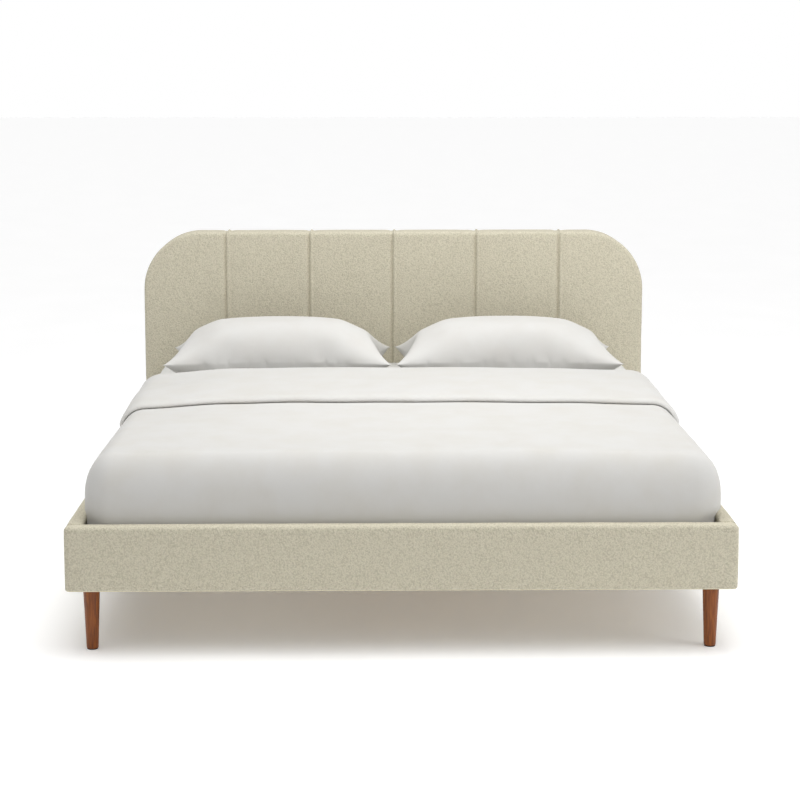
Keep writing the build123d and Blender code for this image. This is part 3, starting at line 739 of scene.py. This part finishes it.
# Quilting in diamonds: the top and the underside sink along two sets of slanting lines.
diamond = np.abs(np.sin(np.pi * (points[:, 0] + points[:, 1]) / diamond_size))
diamond *= np.abs(np.sin(np.pi * (points[:, 0] - points[:, 1]) / diamond_size))
quilting = -stitch_depth * (1 - np.sqrt(diamond)) * normal[:, 2] ** 2
points = points + normal * quilting[:, None]
mattress = piece("mattress_quilted", points, quads, ticking_knit)
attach(mattress, "mattress")
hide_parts("mattress_cover")


def fitted_sheet():
    """The sheet: the mattress's rounded block, a thread's width larger, open underneath except
    for a border, with shallow drag lines that fan out from the corners."""
    rounds = (51.5 * MM, 51.5 * MM, 21.5 * MM), (51.5 * MM, 51.5 * MM, 61.5 * MM)
    points, normal, quads = rounded_block(sheet_low, sheet_high, *rounds, 14 * MM)
    middle = points[quads].mean(axis=1)
    border = 150 * MM
    open_part = (middle[:, 2] < sheet_low[2] + 1 * MM) & np.all(
        (middle[:, :2] > sheet_low[:2] + border) & (middle[:, :2] < sheet_high[:2] - border), axis=1
    )
    quads = quads[~open_part]
    used, inverse = np.unique(quads, return_inverse=True)
    points, normal, quads = points[used], normal[used], inverse.reshape(quads.shape)
    side_share = 1 - normal[:, 2] ** 2
    drag = swell(points[:, 0] * 3 + points[:, 1] * 3, points[:, 2] * 0.8, 0.22, 31)
    flat = swell(points[:, 0], points[:, 1], 0.28, 32)
    lift = (0.9 * side_share * np.clip(drag, 0, 1) + 0.7 * (1 - side_share) * np.clip(flat, 0, 1)) * MM
    return points + normal * lift[:, None], quads


points, quads = fitted_sheet()
sheet = piece("fitted_sheet_cotton", points, quads, sheet_cotton)
thicken = sheet.modifiers.new("cloth_thickness", "SOLIDIFY")
thicken.thickness = 0.6 * MM
thicken.offset = -1
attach(sheet, "mattress")
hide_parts("fitted_sheet")

# ------------------------------------------------------------------ duvet

bed_top = mattress_high[2] + 2 * MM
duvet_x = rail_inner_x - 1.5 * MM
duvet_top = bed_top + 26 * MM
duvet_foot = duvet_low[1]
duvet_hem = duvet_low[2]
flap_foot = -160 * MM
flap_head = duvet_high[1]
flap_thickness = duvet_high[2] - duvet_top - 1.5 * MM
edge_out = 88 * MM
edge_down = 135 * MM
layer_end = flap_head - 34 * MM


def duvet_rise(x, y):
    """Height of the filling over the flat top: a slow crown across the bed, a fall towards the
    sides that grows towards the head and is deeper on the left, and soft uneven swells."""
    fall = smooth_step(np.abs(x), 0.60, 0.96) * smooth_step(y, -0.9, 0.1)
    fall = fall * np.where(x < 0, 22 * MM, 9 * MM)
    crown = 5 * MM * (1 - (x / duvet_x) ** 2) - fall
    swells = 2.2 * MM * swell(x, y, 0.55, 41) + 0.9 * MM * swell(x, y, 0.21, 42)
    return crown + swells


def side_bulge(x, y, z):
    """Sideways swelling of the duvet above the rails, more on the right, where it was pulled
    over a little, and less under the turned-down part."""
    reach = np.where(x > 0, 19 * MM, -7 * MM) * (1 - 0.5 * smooth_step(y, -0.17, 0.1))
    return reach * smooth_step(np.abs(x), 0.78, 0.965) * smooth_step(z, 0.40, 0.425)


def duvet_body():
    """The lower layer: an outer skin over the mattress, an inner skin close to it, joined round
    the hem by a rounded rim."""
    low = np.array([-duvet_x, duvet_foot, duvet_hem])
    high = np.array([duvet_x, layer_end, duvet_top])
    gap = 1 * MM
    inner_low = np.array([sheet_low[0] - gap, sheet_low[1] - gap, duvet_hem])
    inner_high = np.array([sheet_high[0] + gap, layer_end, bed_top])
    rounds_low = np.array([edge_out, edge_out, 0.0])
    rounds_high = np.array([edge_out, 0.0, edge_down])
    flat, quads = block_grid(low, high, rounds_low, rounds_high, 15 * MM, "xXyZ", 9)
    outer, normal = wrapped(flat, low, high, rounds_low, rounds_high)
    # The same grid, wrapped on the inner block, so that each outer point has its twin.
    inner_flat = inner_low + (flat - low) / (high - low) * (inner_high - inner_low)
    inner_rounds = np.array([0.053, 0.053, 0.0]), np.array([0.053, 0.0, 0.063])
    inner, _ = wrapped(inner_flat, inner_low, inner_high, *inner_rounds)
    outer[:, 0] += side_bulge(*outer.T)
    up = np.clip(normal[:, 2], 0, 1)
    outer[:, 2] += up * duvet_rise(outer[:, 0], outer[:, 1])
    side = 1 - up
    low_part = smooth_step(outer[:, 2], duvet_hem + 0.02, duvet_hem + 0.16)
    sideways = 1.2 * MM * swell(outer[:, 0] + outer[:, 1], outer[:, 2], 0.3, 43) - 1.2 * MM
    outer += normal * (sideways * side * low_part)[:, None]
    rim = border_edges(quads)
    return outer, inner, quads, rim


def shell(outer, inner, quads, rim, bulge):
    """Joins two skins along their borders by a rounded rim of three bands."""
    count = len(outer)
    start, end = rim[:, 0], rim[:, 1]
    rows = []
    for share in (1 / 3, 2 / 3):
        cloud = outer * (1 - share) + inner * share
        rows.append(cloud + bulge * math.sin(math.pi * share) * rim_direction(cloud))
    points = np.concatenate([outer, inner, *rows])
    layers = [0, 2 * count, 3 * count, count]
    bands = [
        np.stack([end + a, start + a, start + b, end + b], axis=-1)
        for a, b in zip(layers[:-1], layers[1:])
    ]
    faces = np.concatenate([quads, quads[:, ::-1] + count, *bands])
    used, inverse = np.unique(faces, return_inverse=True)
    return points[used], inverse.reshape(faces.shape)


def rim_direction(cloud):
    """Down at the hems, towards the headboard at the layer's head end."""
    at_head = (cloud[:, 1] > layer_end - 1 * MM)[:, None]
    return np.where(at_head, np.array([0.0, 1.0, 0.0]), np.array([0.0, 0.0, -1.0]))


def flap_line(distance):
    """The line across the bed that the flap lies on, at each distance along it from the middle:
    flat, round the duvet's elliptical edge, then down its side. Returns x, z and the outward
    direction."""
    steps = np.radians(np.linspace(0, 90, 200))
    flat = duvet_x - edge_out
    arc_x = flat + edge_out * np.sin(steps)
    arc_z = duvet_top - edge_down * (1 - np.cos(steps))
    path_x = np.concatenate([[0], arc_x, [duvet_x]])
    path_z = np.concatenate([[duvet_top], arc_z, [duvet_hem]])
    length = np.concatenate([[0], np.cumsum(np.hypot(np.diff(path_x), np.diff(path_z)))])
    s = np.abs(distance)
    x, z = np.interp(s, length, path_x), np.interp(s, length, path_z)
    ahead, behind = s + 1 * MM, np.maximum(s - 1 * MM, 0)
    dx = np.interp(ahead, length, path_x) - np.interp(behind, length, path_x)
    dz = np.interp(ahead, length, path_z) - np.interp(behind, length, path_z)
    size = np.hypot(dx, dz) + 1e-9
    side = np.where(distance < 0, -1.0, 1.0)
    return side * x, z, side * (-dz / size), dx / size


def duvet_flap():
    """The turned-down top: two sheets over the lower layer that meet in a round nose towards the
    foot, in the duvet's fold towards the head, and in a rounded hem at each side."""
    hem_z = 527 * MM
    probe = np.linspace(0, 1.4, 4000)
    _, probe_z, _, _ = flap_line(probe)
    reach = probe[np.argmax(probe_z < hem_z)]
    hem = 14 * MM
    ends = reach - hem * (1 - np.cos(np.radians(np.linspace(90, 0, 8))))
    middle = np.linspace(-(reach - hem), reach - hem, 150)
    s_lines = np.concatenate([-ends[::-1], middle[1:-1], ends])
    nose, roll = 30 * MM, 32 * MM
    nose_lines = flap_foot + nose * (1 - np.cos(np.radians(np.linspace(0, 90, 12))))
    roll_lines = flap_head - roll * (1 - np.sin(np.radians(np.linspace(0, 90, 12))))
    y_lines = np.concatenate([nose_lines, np.linspace(nose_lines[-1], roll_lines[0], 46)[1:-1], roll_lines])
    s, y = np.meshgrid(s_lines, y_lines, indexing="ij")
    x, z, out_x, out_z = flap_line(s)
    x = x + side_bulge(x, y, z)
    over = smooth_step(out_z, 0.15, 0.95)
    thin_edge = 13 * MM * (1 - smooth_step(y, flap_foot - 0.04, flap_foot + 0.28))
    filling = flap_thickness - 15 * MM - thin_edge + 2.0 * MM * swell(x, y, 0.33, 51)
    thick = 13 * MM + over * filling + (1 - over) * smooth_step(x, 0.7, 0.95) * 5 * MM
    below = (13 + 12 * over) * MM
    from_foot = np.clip((nose_lines[-1] - y) / nose, 0, 1)
    from_head = np.clip((y - roll_lines[0]) / roll, 0, 1)
    round_foot, round_head = np.sqrt(1 - from_foot**2), np.sqrt(1 - from_head**2)
    meet_foot, meet_head = 0.3 * thick, 0.5 * (thick - below)
    h_top = np.where(from_head > 0, meet_head + (thick - meet_head) * round_head, thick)
    h_top = np.where(from_foot > 0, meet_foot + (thick - meet_foot) * round_foot, h_top)
    sunk = 2 * MM
    drop = smooth_step(y, roll_lines[0] - 30 * MM, roll_lines[0])
    h_low = -sunk - (below - sunk) * drop
    h_low = np.where(from_head > 0, meet_head - (meet_head + below) * round_head, h_low)
    h_low = np.where(from_foot > 0, meet_foot - (meet_foot + sunk) * round_foot, h_low)
    from_hem = np.clip(reach - np.abs(s), 0, hem)
    hem_round = np.sqrt(np.clip(1 - (1 - from_hem / hem) ** 2, 0, 1))
    centre = (h_top + h_low) / 2
    wander = 5 * MM * swell(s, np.zeros_like(s), 0.9, 52) * (1 - smooth_step(y, flap_foot, 0.1))
    lift = duvet_rise(x, y) * np.clip(out_z, 0, 1)
    sheets = []
    for h in (h_top, h_low):
        h = centre + (h - centre) * hem_round
        sheets.append(np.stack([x + out_x * h, y + wander, z + out_z * h + lift], axis=-1))
    return two_sheets(*sheets)


outer, inner, quads, rim = duvet_body()
body_points, body_quads = shell(outer, inner, quads, rim, 5 * MM)
flap_points, flap_quads = duvet_flap()
points = np.concatenate([body_points, flap_points])
quads = np.concatenate([body_quads, flap_quads + len(body_points)])
duvet = piece("duvet_made_up", points, quads, duvet_cotton)
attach(duvet, "duvet")
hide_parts("duvet")

# ------------------------------------------------------------------ pillows

pillow_flat = (0.945, 0.55)
sewn_columns = 100
sewn_rows = int(sewn_columns * pillow_flat[1] / pillow_flat[0])


def flat_case(seed):
    """A pillow before filling: two flat sheets sewn along their border, parted slightly, with a
    faint unevenness that lets the filled cloth wrinkle."""
    u, v = np.meshgrid(np.linspace(-1, 1, sewn_columns), np.linspace(-1, 1, sewn_rows), indexing="ij")
    rng = np.random.default_rng(seed)
    opening = (1 - u**4) * (1 - v**4)
    uneven = rng.normal(0, 0.2 * MM, u.shape) * opening
    part = 20 * MM * np.sqrt(opening)
    x, y = u * pillow_flat[0] / 2, v * pillow_flat[1] / 2
    return two_sheets(np.stack([x, y, part + uneven], -1), np.stack([x, y, uneven - part], -1))


def filled(case, frames, pressure):
    """Fills the case by cloth simulation with inner pressure, then keeps the settled points."""
    cloth = case.modifiers.new("filling", "CLOTH")
    cloth.settings.quality = 6
    cloth.settings.mass = 0.25
    cloth.settings.tension_stiffness = 15
    cloth.settings.compression_stiffness = 15
    cloth.settings.shear_stiffness = 8
    cloth.settings.bending_stiffness = 0.2
    cloth.settings.air_damping = 2.0
    cloth.settings.use_pressure = True
    cloth.settings.uniform_pressure_force = pressure
    cloth.settings.effector_weights.gravity = 0
    cloth.collision_settings.use_collision = False
    cloth.collision_settings.use_self_collision = False
    cloth.point_cache.frame_start = 1
    cloth.point_cache.frame_end = frames
    for step in range(1, frames + 1):
        bpy.context.scene.frame_set(step)
    depsgraph = bpy.context.evaluated_depsgraph_get()
    settled = bpy.data.meshes.new_from_object(case.evaluated_get(depsgraph))
    case.modifiers.clear()
    case.data = settled
    bpy.context.scene.frame_set(1)


def mesh_points(mesh):
    """A mesh's points as an (n, 3) array."""
    flat = np.empty(3 * len(mesh.vertices), np.float32)
    mesh.vertices.foreach_get("co", flat)
    return flat.reshape(-1, 3).astype(float)


def eased(points, rounds):
    """Evens out wrinkles: each inner point of either sheet moves to the mean of its neighbours,
    less near the sewn border, as often as asked."""
    count = sewn_rows * sewn_columns
    upper = points[:count].reshape(sewn_columns, sewn_rows, 3)
    lower = upper.copy()
    lower[1:-1, 1:-1] = points[count:].reshape(sewn_columns - 2, sewn_rows - 2, 3)
    i, j = np.meshgrid(np.arange(1, sewn_columns - 1), np.arange(1, sewn_rows - 1), indexing="ij")
    depth = np.minimum.reduce([i, j, sewn_columns - 1 - i, sewn_rows - 1 - j])
    weight = np.clip(depth / 5, 0, 1)[..., None]
    for sheet in (upper, lower):
        for _ in range(rounds):
            mean = (sheet[:-2, 1:-1] + sheet[2:, 1:-1] + sheet[1:-1, :-2] + sheet[1:-1, 2:]) / 4
            sheet[1:-1, 1:-1] += weight * (mean - sheet[1:-1, 1:-1])
    return np.concatenate([upper.reshape(-1, 3), lower[1:-1, 1:-1].reshape(-1, 3)])


def crease_sewn_edge(mesh):
    """Keeps the sewn border crisp under subdivision: its edges join two border points."""
    border = np.zeros((sewn_columns, sewn_rows), bool)
    border[[0, -1], :] = True
    border[:, [0, -1]] = True
    on_border = np.zeros(len(mesh.vertices), bool)
    on_border[: border.size] = border.ravel()
    ends = np.empty(2 * len(mesh.edges), np.int32)
    mesh.edges.foreach_get("vertices", ends)
    creased = on_border[ends.reshape(-1, 2)].all(axis=1)
    sharpness = mesh.attributes.new("crease_edge", "FLOAT", "EDGE")
    sharpness.data.foreach_set("value", (0.85 * creased).astype(np.float32))


pillow_seam = 68 * MM
ends_drawn_in, sides_drawn_in = 0.06, 0.07
crown_fall_back, crown_fall_ends = 0.3, 0.22
pressing = 2.2


def laid(points, low, high, mirrored):
    """Scales a filled case into its box. Above its seam it keeps its crown, which falls away to
    all sides; below, it is pressed flat on the bed: z goes to -depth tanh(pressing |z| / half).
    The middles of its sides are drawn in, which leaves the corners as ears."""
    points = points - (points.max(axis=0) + points.min(axis=0)) / 2
    a, b = np.abs(points[:, :2]).max(axis=0)
    u, v = points[:, 0] / a, points[:, 1] / b
    points[:, 0] *= 1 - ends_drawn_in * np.abs(u) ** 3 * (1 - v**2)
    points[:, 1] *= 1 - sides_drawn_in * np.abs(v) ** 3 * (1 - u**2)
    domed = (1 - crown_fall_back * v**2) * (1 - crown_fall_ends * smooth_step(np.abs(u), 0.5, 0.85))
    points[:, 2] *= np.where(points[:, 2] > 0, domed, 1)
    size = high - low
    half = np.abs(points).max(axis=0)
    middle = (low + high) / 2
    x = points[:, 0] / half[0] * size[0] / 2 * (-1 if mirrored else 1)
    y = points[:, 1] / half[1] * size[1] / 2
    up = points[:, 2] / points[:, 2].max() * (size[2] - pillow_seam)
    depth = pillow_seam - 1 * MM
    down = -depth * np.tanh(pressing * np.abs(points[:, 2]) / half[2])
    z = low[2] + pillow_seam + np.where(points[:, 2] > 0, up, down)
    return np.stack([middle[0] + x, middle[1] + y, z], axis=-1)


for hand, seed, mirrored in (("left", 5, False), ("right", 8, True)):
    node_name = f"pillow_{hand}"
    case_points, case_quads = flat_case(seed)
    pillow = piece(f"{node_name}_case", case_points, case_quads, pillow_cotton)
    filled(pillow, 24, 2.0)
    low, high = corners_of(node_name)
    settled = laid(eased(mesh_points(pillow.data), 14), low, high, mirrored)
    pillow.data.vertices.foreach_set("co", settled.astype(np.float32).ravel())
    if mirrored:
        pillow.data.flip_normals()
    pillow.data.polygons.foreach_set("use_smooth", [True] * len(pillow.data.polygons))
    pillow.data.update()
    crease_sewn_edge(pillow.data)
    finer = pillow.modifiers.new("smooth_cloth", "SUBSURF")
    finer.levels = 1
    finer.render_levels = 1
    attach(pillow, node_name)
    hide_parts(node_name)

# ------------------------------------------------------------------ floor, light and camera

scene = bpy.context.scene
scene.view_settings.view_transform = "Standard"


def floor_material():
    """Matt white-painted studio floor with a barely visible mottle."""
    material, tree, surface, place = new_material(
        "studio_floor_matt_white", Roughness=0.9, Emission_Strength=0.14
    )
    surface.inputs["Emission Color"].default_value = (1.0, 1.0, 1.0, 1.0)
    surface.inputs["Specular IOR Level"].default_value = 0.1
    mottle = add_node(
        tree, "ShaderNodeTexNoise", links={"Vector": place}, inputs={"Scale": 2.0, "Detail": 2.0}
    ).outputs["Fac"]
    tint(tree, surface, mottle, [(0.3, "#F6F6F6"), (0.7, "#F9F9F9")])
    return material


floor_size = 60.0
floor_points = np.array([[-1, -1, 0], [1, -1, 0], [1, 1, 0], [-1, 1, 0]], float) * floor_size
floor = piece("studio_floor", floor_points, np.array([[0, 1, 2, 3]]), floor_material(), smooth=False)

# The world's light falls from above, as z^4, over a faint even glow; it shows as plain white.
world = bpy.data.worlds.new("studio")
scene.world = world
world.use_nodes = True
sky = world.node_tree
backdrop = sky.nodes["Background"]
backdrop.inputs["Color"].default_value = (1.0, 1.0, 1.0, 1.0)
height = add_node(
    sky,
    "ShaderNodeSeparateXYZ",
    links={"Vector": add_node(sky, "ShaderNodeTexCoord").outputs["Generated"]},
).outputs["Z"]
steep = add_node(sky, "ShaderNodeMath", links={0: height}, inputs={1: 4.0}, operation="POWER")
glow = add_node(
    sky,
    "ShaderNodeMath",
    links={0: steep.outputs["Value"]},
    inputs={1: 2.45, 2: 0.09},
    operation="MULTIPLY_ADD",
).outputs["Value"]
seen = add_node(sky, "ShaderNodeLightPath").outputs["Is Camera Ray"]
strength = add_node(
    sky, "ShaderNodeMix", links={"Factor": seen, "A": glow}, inputs={"B": 1.0}
).outputs["Result"]
sky.links.new(strength, backdrop.inputs["Strength"])


def softbox(name, place, target, size, power):
    """A rectangular area light of the given size and power in watts that faces its target."""
    data = bpy.data.lights.new(name, "AREA")
    data.shape = "RECTANGLE"
    data.size, data.size_y = size
    data.energy = power
    lamp = bpy.data.objects.new(name, data)
    scene.collection.objects.link(lamp)
    back = np.array(place, float) - np.array(target, float)
    flat = math.hypot(back[0], back[1])
    lamp.location = place
    lamp.rotation_euler = (math.atan2(flat, back[2]), 0.0, math.atan2(back[0], -back[1]))


# A broad light over the pillows, a weak one behind the camera and one from the right, which
# turns the side of the duvet and the headboard's right end lighter than the left.
softbox("overhead_softbox", (0.2, -0.7, 2.7), (0.1, 0.7, 0.7), (2.6, 1.2), 34)
softbox("front_softbox", (0.5, -5.5, 2.6), (0.0, 0.0, 0.6), (2.5, 2.5), 16)
softbox("side_softbox", (4.0, -2.0, 1.9), (0.0, 0.2, 0.6), (2.0, 2.0), 38)

# Standing height, seven metres off the headboard, tilted down a little and turned by a hair.
camera_place = -0.0922, -6.6007, 1.780
camera_tilt = 7.265
camera_turn = -0.886
camera_data = bpy.data.cameras.new("camera")
camera = bpy.data.objects.new("camera", camera_data)
scene.collection.objects.link(camera)
camera_data.lens = 83.6
camera_data.sensor_width = 36.0
camera_data.shift_y = -0.12
camera_data.clip_end = 200.0
camera.location = camera_place
camera.rotation_euler = (math.radians(90 - camera_tilt), 0.0, math.radians(camera_turn))
scene.camera = camera
